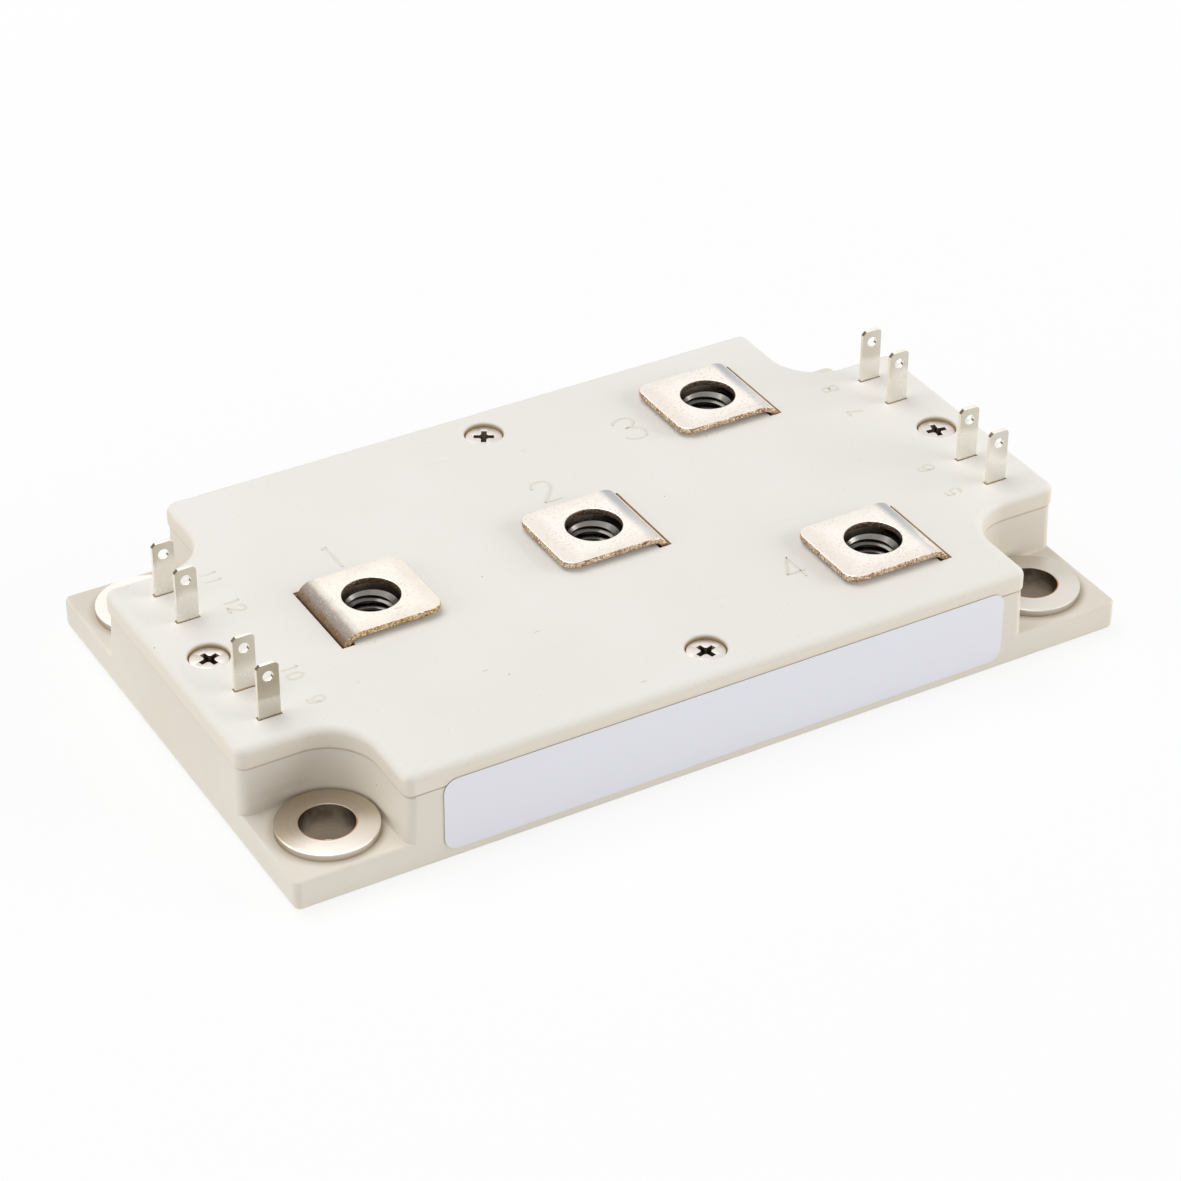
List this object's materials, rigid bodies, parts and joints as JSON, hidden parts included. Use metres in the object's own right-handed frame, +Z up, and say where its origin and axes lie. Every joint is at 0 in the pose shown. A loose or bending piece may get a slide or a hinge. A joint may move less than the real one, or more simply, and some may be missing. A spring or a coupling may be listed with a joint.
{
  "type": "igbt power module",
  "caption": "Flat moulded power semiconductor module with screw terminals on its lid, signal tabs at both ends, bushed corner mounting holes and a metal base plate.",
  "frame": {"origin": "middle of the footprint, on the underside of the base plate", "axes": "+X along the module towards terminals 3 and 4, +Y from the label side to the plain side, +Z up"},
  "size_m": [0.1078, 0.0623, 0.02],
  "materials": {
    "case_plastic": "moulded, cream",
    "lid_plastic": "moulded, pale cream, faintly scuffed",
    "plated_copper": "nickel plate",
    "label_film": "matt film",
    "bush_metal": "plated, turned",
    "plated_terminal": "nickel plate with bare sheared edges",
    "nut_steel": "plated",
    "plated_tab": "nickel plate",
    "screw_steel": "plated",
    "substrate_ceramic": "fired, matt",
    "track_copper": "bare copper",
    "silicon": "smooth",
    "wire_aluminium": "drawn",
    "soft_gel": "clear, soft"
  },
  "bodies": {
    "root": {"case": "case_plastic", "lid": "lid_plastic", "base_plate": "plated_copper", "label": "label_film", "bush_front_left": "bush_metal", "bush_front_right": "bush_metal", "bush_back_left": "bush_metal", "bush_back_right": "bush_metal", "power_terminal_1": "plated_terminal", "terminal_nut_1": "nut_steel", "power_terminal_2": "plated_terminal", "terminal_nut_2": "nut_steel", "power_terminal_3": "plated_terminal", "terminal_nut_3": "nut_steel", "power_terminal_4": "plated_terminal", "terminal_nut_4": "nut_steel", "signal_tab_5": "plated_tab", "signal_tab_6": "plated_tab", "signal_tab_7": "plated_tab", "signal_tab_8": "plated_tab", "signal_tab_9": "plated_tab", "signal_tab_10": "plated_tab", "signal_tab_11": "plated_tab", "signal_tab_12": "plated_tab", "lid_screw_front": "screw_steel", "lid_screw_back": "screw_steel", "lid_screw_left": "screw_steel", "lid_screw_right": "screw_steel", "substrate_left": "substrate_ceramic", "copper_left": "track_copper", "chips_left": "silicon", "substrate_right": "substrate_ceramic", "copper_right": "track_copper", "chips_right": "silicon", "bond_wires": "wire_aluminium", "gel_fill": "soft_gel"}
  },
  "joints": []
}
